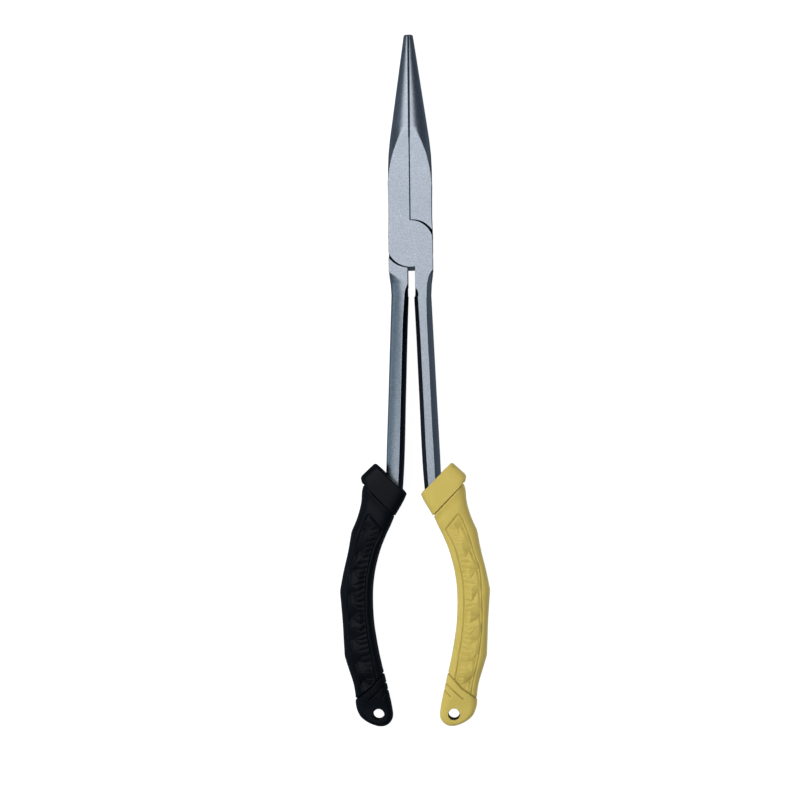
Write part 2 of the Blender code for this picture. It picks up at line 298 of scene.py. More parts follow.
def turned(name, profile, centre=(0.0, 0.0), segments=ROUND_SEGMENTS):
    """A solid of revolution about a vertical axis, from (radius, z) pairs."""
    return loft(name, [circle(radius, z, centre, segments) for radius, z in profile])


def settle(thing):
    """Applies the thing's modifiers to its mesh."""
    evaluated = thing.evaluated_get(bpy.context.evaluated_depsgraph_get())
    mesh = bpy.data.meshes.new_from_object(evaluated)
    thing.modifiers.clear()
    thing.data = mesh


def boolean(target, operation, tool):
    """Joins the tool to the target, cuts it out or keeps what they share, and removes the tool."""
    modifier = target.modifiers.new(operation.lower(), "BOOLEAN")
    modifier.operation = operation
    modifier.solver = "EXACT"
    modifier.object = tool
    settle(target)
    bpy.data.objects.remove(tool)


# -------------------- levers

def soft_min(a, b, softness):
    """The smaller of two values, rounded off where they are within the softness of each other."""
    gap = np.maximum(softness - np.abs(a - b), 0.0) / softness
    return np.minimum(a, b) - gap * gap * softness / 4


def jaw_half_height(y):
    """Half height of the jaw's elliptical section at y, more than the head's where the flat faces cut it."""
    if y >= CONE_TOP_Y:
        part = (TIP_Y - y) / (TIP_Y - CONE_TOP_Y)
        return TIP_HALF_THICKNESS + (HALF - TIP_HALF_THICKNESS) * part
    part = max((y - SHOULDER_END_Y) / (CONE_TOP_Y - SHOULDER_END_Y), 0.0)
    return HALF / max(part ** SHOULDER_POWER, SHOULDER_LEAST_PART)


def jaw_ring(y, inset=0.0):
    """Section of the left jaw at y: chamfered flat inner face, flat front and back, elliptical outer side."""
    inner = JAW_GAP / 2
    chamfer = read(JAW_CHAMFERS, y)
    width = read(JAW_HALF_WIDTHS, y) - inset
    height = jaw_half_height(y) - inset
    start = inner + chamfer
    flat = max(width * math.sqrt(max(1 - (HALF / height) ** 2, 0.0)), start + JAW_LEAST_FLAT)

    def surface(x):
        return float(soft_min(height * math.sqrt(max(1 - (x / width) ** 2, 0.0)), HALF, CONE_BLEND))

    xs = []
    for step in range(JAW_FLAT_STEPS):
        xs.append(start + (flat - start) * (1 - (1 - step / JAW_FLAT_STEPS) ** 2))
    turn = math.acos(flat / width)
    for step in range(JAW_SIDE_STEPS):
        xs.append(width * math.cos(turn * (1 - step / JAW_SIDE_STEPS)))
    front = [(x, surface(x)) for x in xs] + [(width, 0.0)]
    half = [(inner, front[0][1] - CHAMFER_DROP * chamfer)] + front
    section = half + [(x, -z) for x, z in reversed(half[:-1])]
    return [(-x, y, z) for x, z in section]


def left_jaw(name):
    """The left jaw and its side of the head, from the rounded tip down to the joint."""
    levels = [TIP_Y - TIP_CHAMFER]
    levels += list(np.arange(TIP_Y - 2.0, CONE_TOP_Y, -CONE_STEP))
    levels += list(np.arange(CONE_TOP_Y, SHOULDER_END_Y, -SHOULDER_STEP))
    levels += HEAD_LEVELS
    tip = [jaw_ring(TIP_Y, TIP_CHAMFER), jaw_ring(TIP_Y - TIP_ROUNDING, TIP_ROUNDING)]
    return loft(name, tip + [jaw_ring(y) for y in levels])


def teeth_cutter(name):
    """A saw-edged wedge that cuts teeth across the left jaw's gripping face, short of its front and back."""
    land = -JAW_GAP / 2 - TOOTH_LAND
    slope = (HALF - TIP_HALF_THICKNESS) / (TIP_Y - CONE_TOP_Y)
    pitch = (TEETH_TO_Y - TEETH_FROM_Y) / TOOTH_COUNT
    past_face = 1.0
    past_tip = TIP_Y + 2.0
    outline = [(past_face, past_tip), (past_face, TEETH_FROM_Y), (land, TEETH_FROM_Y)]
    for tooth in range(TOOTH_COUNT):
        y = TEETH_FROM_Y + tooth * pitch
        outline.append((land - TOOTH_DEPTH, y + pitch / 2))
        outline.append((land, y + pitch))
    outline.append((land, past_tip))
    rings = []
    for side in (-1, 1):
        ring = []
        for x, y in outline:
            ring.append((x, y, side * (TIP_HALF_THICKNESS + slope * (TIP_Y - y) - TEETH_MARGIN)))
        rings.append(ring)
    return loft(name, rings)


def arm_section(y, front):
    """The arm's section as (across, z) pairs: ground front, sloping outer side and rounded, forged back."""
    front_in = read(FRONT_INNER_EDGE, y)
    front_out = read(FRONT_OUTER_EDGE, y)
    back_in = read(BACK_INNER_EDGE, y)
    crest = read(BACK_CREST, y)
    fall = read(BACK_FALL, y)
    back = float(soft_min(crest, HALF, BACK_BLEND))
    points = []
    for step in range(FRONT_STEPS):
        points.append((front_in + (front_out - front_in) * step / FRONT_STEPS, front))
    middle = 1 - SLOPE_INSET * (1 - front_out)
    handle = 2 * middle - (front_out + 1) / 2
    for step in range(SLOPE_STEPS):
        t = step / SLOPE_STEPS
        u = (1 - t) ** 2 * front_out + 2 * t * (1 - t) * handle + t * t
        v = (1 - t) ** 2 + 2 * t * (1 - t) * SLOPE_MIDDLE + t * t * SLOPE_FOOT
        points.append((u, v * front))
    for step in range(BACK_STEPS):
        turn = math.pi / 2 * float(smoothstep(1 - step / BACK_STEPS))
        part = math.sin(turn) ** (2 / BACK_SQUARENESS)
        level = crest * (1 - fall * part) * math.cos(turn) ** (2 / BACK_SQUARENESS)
        points.append((back_in + (1 - back_in) * part, -float(soft_min(level, HALF, BACK_BLEND))))
    for step in range(BACK_INNER_STEPS):
        t = step / BACK_INNER_STEPS
        bulge = INNER_BULGE * (1 + back_in) * 4 * t * (1 - t)
        points.append((back_in + (-1 - back_in) * t - bulge, -back * (1 - (1 - INNER_WAIST) * t)))
    points.append((-1.0, -back * INNER_WAIST))
    for step in range(FRONT_INNER_STEPS):
        t = step / FRONT_INNER_STEPS
        points.append((-1 + (front_in + 1) * t, front * (INNER_WAIST + (1 - INNER_WAIST) * t)))
    return points


def right_arm(name, slim):
    """The right arm and its tang, from inside the head to the tang's end."""
    line = np.array(ARM_LINE)
    knots = -line[:, 1]
    spans = [np.arange(*span) for span in ARM_LEVELS]
    ys = np.concatenate([[line[0, 1], -6.0], *spans, [line[-1, 1]]])
    corners = (knots < -ARM_CURVE[0]) | (knots > -ARM_CURVE[1])
    rows = cubic_through(knots, line, corners, -ys)
    rings = []
    for x, y, heading, width, front in rows:
        x += read(slim, y) / 2
        width -= read(slim, y)
        turn = math.radians(heading)
        across = Vector((math.cos(turn), math.sin(turn), 0.0))
        ring = []
        for u, z in arm_section(y, front):
            ring.append(Vector((x, y, z)) + across * u * width / 2)
        rings.append(ring)
    end = []
    for point in rings[-1]:
        centre = Vector((rows[-1][0], rows[-1][1], 0.0))
        end.append(centre + (point - centre) * TANG_END_SHARE + Vector(TANG_END_STEP))
    rings.append(end)
    return loft(name, rings)


def clean(thing):
    """Joins coplanar faces, drops the Booleans' slivers and marks the ground faces' edges as sharp."""
    bm = bmesh.new()
    bm.from_mesh(thing.data)
    bmesh.ops.remove_doubles(bm, verts=bm.verts, dist=WELD)
    bmesh.ops.dissolve_degenerate(bm, edges=bm.edges, dist=WELD)
    bmesh.ops.dissolve_limit(bm, angle_limit=math.radians(FLAT_DEGREES), verts=bm.verts, edges=bm.edges)
    for edge in bm.edges:
        if len(edge.link_faces) == 2:
            ground = [abs(face.normal.z) > LEVEL_NORMAL for face in edge.link_faces]
            folded = edge.calc_face_angle() > math.radians(GROUND_EDGE_DEGREES)
            edge.smooth = not (ground[0] != ground[1] and folded)
    bm.to_mesh(thing.data)
    bm.free()


def soften_edges(thing):
    """Rounds the sharp edges, in their own material."""
    modifier = thing.modifiers.new("edges", "BEVEL")
    modifier.width = EDGE_ROUNDING
    modifier.segments = EDGE_SEGMENTS
    modifier.limit_method = "ANGLE"
    modifier.angle_limit = math.radians(ROUNDED_EDGE_DEGREES)
    modifier.use_clamp_overlap = False
    modifier.miter_outer = "MITER_ARC"
    modifier.material = ROUNDED_EDGE
    settle(thing)


def weigh_normals(thing):
    """Shades smoothly, with the large flat faces kept flat."""
    thing.data.shade_smooth()
    modifier = thing.modifiers.new("normals", "WEIGHTED_NORMAL")
    modifier.weight = 80
    modifier.keep_sharp = True
    settle(thing)


def slot_end(name):
    """The drafted end wall of the slot between the arms, part of the front lap."""
    top = HALF - SLOT_END_DROP
    foot = ((SLOT_END_ROOT_Y, 0.0), (SLOT_END_FOOT_Y, 0.0))
    section = foot + ((SLOT_END_CREST_Y, top), (SLOT_END_ROOT_Y, top))
    return loft(name, [[(x, y, z) for y, z in section] for x in SLOT_END_SIDES])


def lap_ring(z, spare, shift=0.0):
    """A ring about the pivot, slightly wider on the arms' side than on the jaws' side."""
    ring = []
    for i in range(ROUND_SEGMENTS):
        turn = FULL_TURN * i / ROUND_SEGMENTS
        upper = float(smoothstep(0.5 + math.sin(turn) / (2 * LAP_BLEND)))
        radius = LAP_RADIUS + (LAP_TOP_RADIUS - LAP_RADIUS) * upper + spare
        ring.append((shift + radius * math.cos(turn), radius * math.sin(turn), z))
    return ring


def lever(name, slim):
    """Left jaw, front lap and right arm as one forging, before its bore is cut."""
    body = left_jaw(name)
    boolean(body, "DIFFERENCE", teeth_cutter("teeth"))
    joint_plane = LAP_FACE_GAP / 2
    levels = ((joint_plane, -LAP_ROOT), (joint_plane + LAP_ROOT, 0.0), (HALF, 0.0))
    lap = loft("lap", [lap_ring(z, spare) for z, spare in levels])
    low = (-HEAD_HALF_WIDTH, -PAST_HEAD, -PAST_REAR_FACE)
    high = (HEAD_HALF_WIDTH, PAST_HEAD, PAST_HEAD)
    boolean(lap, "INTERSECT", block("sides", low, high))
    boolean(body, "UNION", lap)
    boolean(body, "UNION", right_arm("arm", slim))
    boolean(body, "UNION", slot_end("slot_end"))
    levels = ((-2 * HALF, LAP_PLAY), (joint_plane - LAP_ROOT, LAP_PLAY), (joint_plane, LAP_PLAY - LAP_ROOT))
    for shift in (-LAP_RELIEF_SHIFT, LAP_RELIEF_SHIFT):
        boolean(body, "DIFFERENCE", loft("relief", [lap_ring(z, spare, shift) for z, spare in levels]))
    low = (SLOT_ROOM_SIDES[0], SLOT_ROOM_TO_Y, -2 * HALF)
    high = (SLOT_ROOM_SIDES[1], SLOT_END_ROOT_Y, joint_plane)
    boolean(body, "DIFFERENCE", block("below_slot_end", low, high))
    return body


def finish_lever(body, steels, half_turn):
    """Cleans the forging, breaks its edges, gives the edges their own steel and paints the arm's inner side
    near-black as shade.
    """
    clean(body)
    body.data.materials.clear()
    for material in steels:
        body.data.materials.append(material)
    for polygon in body.data.polygons:
        # The arm's inner side, down by the gap between the arms, is painted near-black as shade
        in_arm_gap_shade = polygon.center.y < INNER_SIDE_FROM_Y and polygon.normal.x < INNER_SIDE_NORMAL
        polygon.material_index = PAINTED_SHADE if in_arm_gap_shade else SATIN
    soften_edges(body)
    weigh_normals(body)
    place(body, half_turn)
    return body


def place(thing, half_turn):
    """Scales a drawn mesh to metres, turns it if it is for the rear half and lifts it to the middle plane."""
    turn = Matrix.Rotation(math.pi, 4, "Y") if half_turn else Matrix.Identity(4)
    thing.data.transform(Matrix.Translation((0.0, 0.0, MIDDLE_Z)) @ turn @ Matrix.Diagonal((MM, MM, MM, 1.0)))
    thing.data.update()


def front_lever(steels):
    """The front forging, with a blind bore for the rivet's shank."""
    body = lever("front_lever_forging", FRONT_ARM_SLIM)
    boolean(body, "DIFFERENCE", disc("bore", SHANK_RADIUS + RIVET_PLAY, BORE_FROM_Z, HALF - BLIND_SKIN))
    return finish_lever(body, steels, False)


def rear_lever(steels):
    """The rear forging, with a through bore and a counterbore for the rivet's head."""
    body = lever("rear_lever_forging", REAR_ARM_SLIM)
    boolean(body, "DIFFERENCE", disc("bore", SHANK_RADIUS + RIVET_PLAY, BORE_FROM_Z, 2 * HALF))
    floor = HALF - RIVET_HEAD_DEPTH - RIVET_PLAY
    boolean(body, "DIFFERENCE", disc("seat", RIVET_HEAD_RADIUS + RIVET_PLAY, floor, 2 * HALF))
    return finish_lever(body, steels, True)


def pivot_rivet():
    """A stepped pin with a slightly crowned flush head and a shallow turned ring on it."""
    shank_end = HALF - BLIND_SKIN - SHANK_END_PLAY
    shoulder = -HALF + RIVET_HEAD_DEPTH
    profile = [(radius, -HALF + height) for radius, height in RIVET_HEAD_FACE]
    profile += [(RIVET_HEAD_RADIUS, shoulder), (SHANK_RADIUS, shoulder + 0.01)]
    profile += [(SHANK_RADIUS, shank_end - SHANK_CHAMFER), (SHANK_RADIUS - SHANK_CHAMFER, shank_end)]
    pin = turned("pivot_rivet_pin", profile, segments=RIVET_SEGMENTS)
    pin.data.shade_smooth()
    pin.data.set_sharp_from_angle(angle=math.radians(40))
    place(pin, False)
    return pin


# -------------------- grips

# Ribs from the collar to the lobe: inner x, inner y, outer x, outer y, half thickness, squareness, and the
# height at which the front and back are cut flat
RIBS = (
    (4.0, -99.9, 14.6, -89.4, 5.7, 4.6, 9.0),
    (3.35, -100.5, 15.3, -88.75, 6.55, 4.6, 9.0),
    (2.95, -101.2, 16.0, -88.85, 6.95, 4.8, 9.0),
    (4.4, -104.3, 20.8, -93.3, 7.05, 4.8, 9.0),
    (4.9, -105.2, 21.3, -94.3, 7.05, 4.8, 9.0),
    (7.45, -109.5, 20.75, -96.6, 7.05, 4.6, 9.0),
    (7.75, -109.95, 20.45, -97.3, 6.95, 4.4, 9.0),
    (8.05, -110.3, 20.45, -97.9, 6.6, 3.8, 9.0),
    (8.4, -111.1, 20.75, -98.9, 6.45, 3.4, 9.0),
    (9.6, -113.9, 21.3, -104.2, 6.4, 3.2, 9.0),
    (11.4, -117.6, 23.1, -110.7, 6.4, 3.1, 9.0),
    (13.25, -122.0, 25.4, -116.0, 6.5, 3.1, 9.0),
    (15.0, -127.6, 26.85, -124.0, 6.5, 3.1, 9.0),
    (16.3, -133.6, 28.8, -132.1, 6.6, 3.1, 9.0),
    (17.0, -140.2, 30.35, -140.0, 6.7, 3.1, 9.0),
    (17.05, -146.6, 29.85, -146.3, 6.7, 3.1, 9.0),
    (16.65, -153.5, 29.35, -153.3, 6.6, 3.1, 9.0),
    (15.75, -159.8, 29.05, -160.2, 6.5, 3.1, 9.0),
    (14.75, -165.5, 28.75, -166.4, 6.3, 3.1, 9.0),
    (13.6, -170.8, 27.05, -171.9, 5.95, 3.1, 8.0),
    (12.35, -175.7, 25.45, -177.0, 5.5, 3.1, 7.0),
    (11.1, -181.1, 24.6, -181.9, 5.0, 3.1, 5.2),
    (9.95, -186.5, 24.35, -186.9, 4.75, 3.0, 4.15),
    (9.45, -190.6, 22.75, -190.7, 4.6, 3.0, 4.0),
    (10.0, -192.45, 20.6, -192.6, 4.3, 2.9, 4.0),
    (11.3, -193.95, 17.9, -194.05, 3.5, 2.6, 4.0),
    (12.7, -194.7, 16.0, -194.7, 2.2, 2.3, 4.0),
    (13.7, -194.93, 15.0, -194.93, 0.9, 2.0, 4.0),
)
# Ribs at which the inner and the outer outline turn a corner, and the last rib of the collar and its groove
INNER_CORNER_RIBS = (0, 1, 2, 5, 6, 7)
OUTER_CORNER_RIBS = (0, 1, 2, 3, 4, 5, 6, 7, 11, 14, 18)
COLLAR_LAST_RIB = 8
COLLAR_ROUNDING = 0.35
BODY_ROUNDING = 1.1
FACE_BLEND = 0.35
# The grip's surface grid: rows along it, fine on the collar and from FINE_FROM_Y on, and columns round it,
# closer together on the front and back
FINE_ROW = 0.18
ROW = 0.36
FINE_FROM_Y = -170.0
COLUMNS = 200
FACE_DENSITY = 1.2
SECTION_STEPS = 1440

COLLAR_GROOVE = ((22.0, -95.9), (20.2, -97.25), (8.0, -109.75), (6.6, -111.4))
PANEL_TOP = ((12.8, -115.6), (13.05, -114.9), (17.6, -109.5), (18.05, -109.1), (18.55, -109.35))
PANEL_INNER = (
    (12.8, -115.6), (13.4, -116.9), (14.9, -119.3), (16.15, -122.1), (17.05, -124.7), (17.8, -127.7),
    (18.5, -130.9), (19.3, -135.4), (19.7, -140.3), (19.75, -145.5), (19.6, -150.0), (19.15, -154.8),
    (18.3, -161.3), (17.5, -165.3), (16.95, -169.4), (16.2, -173.4), (15.75, -176.1),
)
PANEL_OUTER = (
    (18.55, -109.35), (19.8, -111.5), (20.9, -114.4), (21.9, -117.0), (22.9, -120.1), (23.8, -123.3),
    (24.8, -126.6), (26.2, -130.2), (26.8, -134.3), (27.0, -140.3), (27.2, -145.6), (27.2, -150.1),
    (27.0, -154.9), (26.4, -160.6), (25.6, -165.4), (24.7, -169.9), (23.9, -173.5), (23.1, -176.7),
    (22.3, -181.9),
)
LOBE_GROOVES = (
    (
        (11.8, -172.4), (13.5, -173.9), (15.9, -176.2), (18.5, -179.1), (20.9, -180.9), (24.1, -183.3),
        (25.6, -184.4),
    ),
    ((11.2, -176.6), (12.6, -177.9), (15.7, -180.7), (18.9, -183.7)),
    ((10.3, -179.3), (11.9, -180.7), (13.75, -182.7)),
)
# Width and depth of the round channels
COLLAR_GROOVE_SIZE = (1.1, 0.9)
PANEL_RIM_SIZE = (1.05, 0.42)
LOBE_GROOVE_SIZES = ((1.0, 0.75), (0.85, 0.55), (0.8, 0.5))
# The panels lie where the surface faces front or back; each runs down to the first groove of the lobe
FACE_NORMAL = 0.35
FACE_NORMAL_EASE = 0.3
PANEL_FLOOR_SIDES = (15.75, 22.4)
# The folded panel: its floor's drop, the folds' rise from it, and the creases along the slanting folds
PANEL_DROP = 1.0
PANEL_EASE = 1.1
PANEL_MARGIN = 0.4
FACET_TOP = -106.0
FACET_PITCH = 4.4
FACET_ROWS = 18
FACET_RISE = 1.8
CREASE_WIDTH = 0.6
CREASE_DEPTH = 0.12
# Columns of fold corners across the panel: share of its width, row offset, lowest, highest, extra on every
# other row, how far they stray to the side, and the height of the short rungs in between
FACET_COLUMNS = (
    (0.0, 0.0, 0.15, 0.50, 0.10, 0.0, 0.08),
    (0.42, 0.15, 0.30, 0.75, 0.10, 0.09, 0.09),
    (0.74, 0.0, 0.05, 0.35, 0.60, 0.07, 0.0),
    (1.0, 0.5, 0.0, 0.12, 0.25, 0.0, 0.0),
)
RUNGS = 4
RUNG_LEVELS = ((-116.0, 0.5), (-126.0, 0.6), (-132.0, 1.0), (-160.0, 1.0), (-168.0, 0.5))
ROW_STRAY = 0.24
# How much painted shade, a darker rubber colour, the material gives each kind of channel and the panel's
# valleys
RIM_SHADE_DEPTH = 0.6
LOBE_SHADE_DEPTH = 0.6
VALLEY_LEVEL = 0.6
VALLEY_SHADE = 0.72
CREASE_SHADE = 0.38
# Lanyard hole: a bore with rounded rims at the lobe's flat faces, opening inside into the room for the core
LANYARD_HOLE = (15.25, -189.8)
LANYARD_RADIUS = 2.4
LANYARD_FLARE = 0.2
LANYARD_FLARE_STEPS = 5
LANYARD_SEGMENTS = 96
LOBE_FACE = 4.02
PAST_LOBE_FACE = 4.6
PAST_LOBE_FLARE = 0.6
CORE_ROOM = 2.85
CORE_ROOM_MARGIN = 0.7


def polyline(points, step=0.6):
    """A smooth line through the points, as a dense array."""
    points = np.array(points)
    knots = np.concatenate([[0.0], np.cumsum(np.linalg.norm(np.diff(points, axis=0), axis=1))])
    where = np.linspace(0.0, knots[-1], max(2, int(knots[-1] / step)))
    return cubic_through(knots, points, [False] * len(points), where)


def distance(x, y, line):
    """Distance from each point to a line of straight pieces."""
    best = np.full(x.shape, 1e9)
    for (x0, y0), (x1, y1) in zip(line[:-1], line[1:]):
        dx, dy = x1 - x0, y1 - y0
        t = np.clip(((x - x0) * dx + (y - y0) * dy) / (dx * dx + dy * dy), 0.0, 1.0)
        best = np.minimum(best, np.hypot(x - x0 - t * dx, y - y0 - t * dy))
    return best


def inside(x, y, outline):
    """Whether each point lies within a closed outline."""
    found = np.zeros(x.shape, bool)
    for (x0, y0), (x1, y1) in zip(outline, np.roll(outline, -1, axis=0)):
        if y0 == y1:
            continue
        crosses = (y0 > y) != (y1 > y)
        found ^= crosses & (x < (x1 - x0) * (y - y0) / (y1 - y0) + x0)
    return found


def channel(gap, width, depth):
    """Depth of a rounded channel at a distance from its middle."""
    t = np.clip(gap / (width / 2), 0.0, 1.0)
    return depth * (1 - t * t) ** 2


def facet_corners():
    """Corners of the panel's folds, column by column from its inner side: x, y, height from 0 to 1."""
    draw = np.random.default_rng(7)
    inner = polyline(PANEL_INNER)
    outer = polyline(PANEL_OUTER)
    columns = []
    for share, offset, low, high, swing, stray, rung in FACET_COLUMNS:
        rows = []
        for i in range(FACET_ROWS + 1):
            level = FACET_TOP - (i + offset + draw.uniform(-ROW_STRAY, ROW_STRAY)) * FACET_PITCH
            across = share + draw.uniform(-stray, stray)
            rows.append((across, level, low + swing * (i % 2) + draw.uniform(0.0, high - low)))
        if rung:
            rows = with_rungs(rows, rung, draw)
        points = []
        for across, level, height in rows:
            x_in = np.interp(-level, -inner[:, 1], inner[:, 0]) - PANEL_MARGIN
            x_out = np.interp(-level, -outer[:, 1], outer[:, 0]) + PANEL_MARGIN
            points.append((x_in + (x_out - x_in) * across, level, height))
        columns.append(points)
    return columns


def with_rungs(rows, rung, draw):
    """Adds short rungs, high and low by turns, between a column's rows."""
    finer = []
    for above, below in zip(rows, rows[1:]):
        for step in range(RUNGS):
            across, level, height = (a + (b - a) * step / RUNGS for a, b in zip(above, below))
            side = 1 if step % 2 else -1
            rise = side * rung * read(RUNG_LEVELS, level) * draw.uniform(0.5, 1.5)
            finer.append((across, level, height + rise))
    return finer + [rows[-1]]


def facet_triangles(columns):
    """Triangles between neighbouring columns; each one's first two corners end a slanting fold."""
    for number, (left, right) in enumerate(zip(columns, columns[1:])):
        if len(left) > len(right):
            for i, (above, below) in enumerate(zip(right, right[1:])):
                fan = left[i * RUNGS:(i + 1) * RUNGS + 1]
                yield above, fan[RUNGS // 2], below
                for step in range(RUNGS):
                    yield (above if step < RUNGS // 2 else below), fan[step], fan[step + 1]
            continue
        first, second = (right, left) if number % 2 else (left, right)
        for i in range(len(left) - 1):
            yield first[i], second[i], first[i + 1]
            yield second[i], first[i + 1], second[i + 1]


def facet_height(x, y, columns):
    """Height of the folded triangles at each point, from 0 in the valleys to 1 on the highest crests."""
    height = np.zeros(x.shape)
    for a, b, c in facet_triangles(columns):
        area = (b[0] - a[0]) * (c[1] - a[1]) - (c[0] - a[0]) * (b[1] - a[1])
        wb = ((x - a[0]) * (c[1] - a[1]) - (c[0] - a[0]) * (y - a[1])) / area
        wc = ((b[0] - a[0]) * (y - a[1]) - (x - a[0]) * (b[1] - a[1])) / area
        wa = 1 - wb - wc
        hit = (wa >= -1e-9) & (wb >= -1e-9) & (wc >= -1e-9)
        height = np.where(hit, wa * a[2] + wb * b[2] + wc * c[2], height)
    return height


def facet_creases(x, y, columns):
    """How near each point is to a slanting fold, from 0 away from it to 1 in the crease."""
    gap = np.full(x.shape, 1e9)
    for a, b, _ in facet_triangles(columns):
        gap = np.minimum(gap, distance(x, y, np.array([a[:2], b[:2]])))
    return channel(gap, CREASE_WIDTH, 1.0)


def rib_rows():
    """Smooth ribs between the listed ones, close together where the surface has fine shape."""
    ribs = np.array(RIBS)
    inner, outer = ribs[:, 0:2], ribs[:, 2:4]
    steps = np.maximum(
        np.linalg.norm(np.diff(inner, axis=0), axis=1), np.linalg.norm(np.diff(outer, axis=0), axis=1)
    )
    knots = np.concatenate([[0.0], np.cumsum(steps)])
    where = []
    for k, step in enumerate(steps):
        fine = k <= COLLAR_LAST_RIB or inner[k, 1] < FINE_FROM_Y
        pieces = max(2, math.ceil(step / (FINE_ROW if fine else ROW)))
        where += list(knots[k] + step * np.arange(pieces) / pieces)
    where = np.array(where + [knots[-1]])
    index = np.arange(len(ribs))
    inner_rows = cubic_through(knots, inner, np.isin(index, INNER_CORNER_RIBS), where)
    outer_rows = cubic_through(knots, outer, np.isin(index, OUTER_CORNER_RIBS), where)
    rest = cubic_through(knots, ribs[:, 4:], index < COLLAR_LAST_RIB, where)
    at_rib = np.interp(where, knots, index)
    return where, inner_rows, outer_rows, rest, at_rib


def round_off(where, rows, at_rib):
    """Softens the corners of an outline by averaging it over a short reach."""
    result = rows.copy()
    reach = np.where(at_rib < COLLAR_LAST_RIB + 0.5, COLLAR_ROUNDING, BODY_ROUNDING)
    for i in range(1, len(rows) - 1):
        room = min(reach[i], (where[i] - where[0]) / 2, (where[-1] - where[i]) / 2)
        if room < 0.05:
            continue
        samples = where[i] + room * np.linspace(-1, 1, 9)
        weight = 1 - np.linspace(-1, 1, 9) ** 2 + 0.05
        values = np.stack([np.interp(samples, where, rows[:, c]) for c in range(rows.shape[1])], axis=1)
        result[i] = (values * weight[:, None]).sum(0) / weight.sum()
    return result


def grip_grid():
    """The grip's outer surface without its grooves, as a grid of points."""
    where, inner, outer, rest, at_rib = rib_rows()
    inner = round_off(where, inner, at_rib)
    outer = round_off(where, outer, at_rib)
    turn = FULL_TURN * np.arange(SECTION_STEPS + 1) / SECTION_STEPS
    c, s = np.cos(turn), np.sin(turn)
    grid = np.zeros((len(where), COLUMNS, 3))
    for i in range(len(where)):
        centre = (inner[i] + outer[i]) / 2
        across = (outer[i] - inner[i]) / 2
        width = np.linalg.norm(across)
        across = across / width
        height, power, face = rest[i]
        u = np.sign(c) * np.abs(c) ** (2 / power) * width
        v = np.sign(s) * soft_min(np.abs(s) ** (2 / power) * height, face, FACE_BLEND)
        du, dv = np.diff(u), np.diff(v)
        length = np.hypot(du, dv)
        level = np.abs(du) / np.maximum(length, 1e-9)
        density = length * (1.0 + FACE_DENSITY * smoothstep((level - 0.75) / 0.2))
        total = np.concatenate([[0.0], np.cumsum(density)])
        marks = total[-1] * np.arange(COLUMNS) / COLUMNS
        us, vs = np.interp(marks, total, u), np.interp(marks, total, v)
        grid[i, :, 0] = centre[0] + across[0] * us
        grid[i, :, 1] = centre[1] + across[1] * us
        grid[i, :, 2] = vs
    return grid


def grid_normals(grid):
    """Outward normals at the points of the grip's grid."""
    along = np.gradient(grid, axis=0)
    around = np.roll(grid, -1, axis=1) - np.roll(grid, 1, axis=1)
    normal = np.cross(around, along)
    normal /= np.maximum(np.linalg.norm(normal, axis=2, keepdims=True), 1e-12)
    centre = grid.mean(axis=1, keepdims=True)
    if ((grid - centre) * normal).sum() < 0:
        normal = -normal
    return normal


def grip_relief(x, y, normal):
    """Depth of the channels and folds at each point of the grip, and how much painted shade each point takes.
    """
    on_face = smoothstep((np.abs(normal[:, :, 2]) - FACE_NORMAL) / FACE_NORMAL_EASE)
    groove = channel(distance(x, y, np.array(COLLAR_GROOVE)), *COLLAR_GROOVE_SIZE)
    top, panel_in, panel_out = np.array(PANEL_TOP), polyline(PANEL_INNER), polyline(PANEL_OUTER)
    floor_line = polyline(LOBE_GROOVES[0][2:6])
    lower = floor_line[(floor_line[:, 0] > PANEL_FLOOR_SIDES[0]) & (floor_line[:, 0] < PANEL_FLOOR_SIDES[1])]
    outline = np.vstack([top, panel_out, lower[::-1], panel_in[::-1]])
    edge = np.minimum(np.minimum(distance(x, y, top), distance(x, y, panel_in)), distance(x, y, panel_out))
    rim = channel(edge, *PANEL_RIM_SIZE) * on_face
    within = inside(x, y, outline) * on_face
    border = np.minimum(edge, distance(x, y, lower))
    swell = smoothstep(border / PANEL_EASE) * within
    columns = facet_corners()
    facets = facet_height(x, y, columns)
    creases = facet_creases(x, y, columns) * swell
    lobe = np.zeros(x.shape)
    for line, size in zip(LOBE_GROOVES, LOBE_GROOVE_SIZES):
        lobe = np.maximum(lobe, channel(distance(x, y, polyline(line, 0.4)), *size))
    folds = swell * (PANEL_DROP - FACET_RISE * facets) + CREASE_DEPTH * creases
    depth = np.maximum.reduce([groove, rim, lobe]) + folds
    # Painted shade: the channels, the valleys between the folds and the creases take a darker rubber colour
    valley = np.clip(1 - facets / VALLEY_LEVEL, 0.0, 1.0) * swell
    shade = np.maximum.reduce([
        groove / COLLAR_GROOVE_SIZE[1], rim / RIM_SHADE_DEPTH, lobe / LOBE_SHADE_DEPTH,
        VALLEY_SHADE * valley, CREASE_SHADE * creases,
    ])
    return depth, shade


def grip_mesh(name, points, shade):
    """A closed mesh from the grid of points, with the painted shade as an attribute that the rubber reads."""
    rows = len(points)
    bm = bmesh.new()
    deep = bm.verts.layers.float.new("groove")
    net = [[bm.verts.new(points[i, j]) for j in range(COLUMNS)] for i in range(rows)]
    for i in range(rows):
        for j in range(COLUMNS):
            net[i][j][deep] = shade[i, j]
    for i in range(rows - 1):
        for j in range(COLUMNS):
            k = (j + 1) % COLUMNS
            bm.faces.new((net[i][j], net[i][k], net[i + 1][k], net[i + 1][j]))
    bm.faces.new(net[0])
    bm.faces.new(list(reversed(net[-1])))
    return mesh_object(name, bm)


